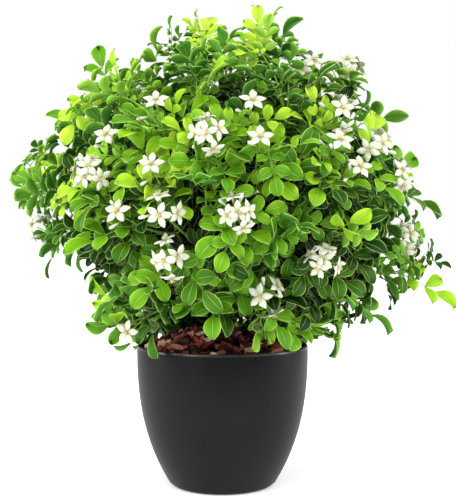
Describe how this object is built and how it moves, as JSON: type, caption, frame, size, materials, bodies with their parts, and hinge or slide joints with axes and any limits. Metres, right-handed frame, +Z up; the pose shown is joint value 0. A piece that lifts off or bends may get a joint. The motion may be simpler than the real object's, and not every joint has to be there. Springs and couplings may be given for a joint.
{
  "type": "potted orange jasmine",
  "caption": "Flowering shrub with glossy compound leaves and clusters of white five-petalled flowers, on woody stems in a round black planter mulched with bark.",
  "frame": {"origin": "centre of the planter's flat base, on the surface that it stands on", "axes": "+Z up along the planter's axis, -Y towards the front, which the picture shows, +X to its right"},
  "size_m": [0.5236, 0.443, 0.5561],
  "materials": {
    "black_planter": "satin black moulded plastic",
    "potting_soil": "dark crumbly soil",
    "bark_chips": "rough reddish-brown bark",
    "woody_stem": "matt grey-brown bark",
    "leaf_green": "glossy living leaf",
    "petal_white": "soft waxy cream-white petal"
  },
  "bodies": {
    "root": {"bark_mulch": "bark_chips", "flower_cluster_01": "petal_white", "flower_cluster_02": "petal_white", "flower_cluster_03": "petal_white", "flower_cluster_04": "petal_white", "flower_cluster_05": "petal_white", "flower_cluster_06": "petal_white", "flower_cluster_07": "petal_white", "flower_cluster_08": "petal_white", "flower_cluster_09": "petal_white", "flower_cluster_10": "petal_white", "flower_cluster_11": "petal_white", "flower_cluster_12": "petal_white", "flower_cluster_13": "petal_white", "flower_cluster_14": "petal_white", "flower_cluster_15": "petal_white", "flower_cluster_16": "petal_white", "flower_cluster_17": "petal_white", "flower_cluster_18": "petal_white", "flower_cluster_19": "petal_white", "flower_cluster_20": "petal_white", "flower_cluster_21": "petal_white", "flower_cluster_22": "petal_white", "flower_cluster_23": "petal_white", "flower_cluster_24": "petal_white", "flower_cluster_25": "petal_white", "flower_cluster_26": "petal_white", "flower_cluster_27": "petal_white", "flower_cluster_28": "petal_white", "flower_cluster_29": "petal_white", "leafy_stem_01": "leaf_green", "leafy_stem_02": "leaf_green", "leafy_stem_03": "leaf_green", "leafy_stem_04": "leaf_green", "leafy_stem_05": "leaf_green", "leafy_stem_06": "leaf_green", "leafy_stem_07": "leaf_green", "leafy_stem_08": "leaf_green", "leafy_stem_09": "leaf_green", "leafy_stem_10": "leaf_green", "leafy_stem_11": "leaf_green", "leafy_stem_12": "leaf_green", "leafy_stem_13": "leaf_green", "leafy_stem_14": "leaf_green", "leafy_stem_15": "leaf_green", "leafy_stem_16": "leaf_green", "leafy_stem_17": "leaf_green", "leafy_stem_18": "leaf_green", "leafy_stem_19": "leaf_green", "leafy_stem_20": "leaf_green", "leafy_stem_21": "leaf_green", "leafy_stem_22": "leaf_green", "leafy_stem_23": "leaf_green", "leafy_stem_24": "leaf_green", "leafy_stem_25": "leaf_green", "leafy_stem_26": "leaf_green", "leafy_stem_27": "leaf_green", "planter": "black_planter", "soil": "potting_soil", "trunk_and_branches": "woody_stem"}
  },
  "joints": []
}
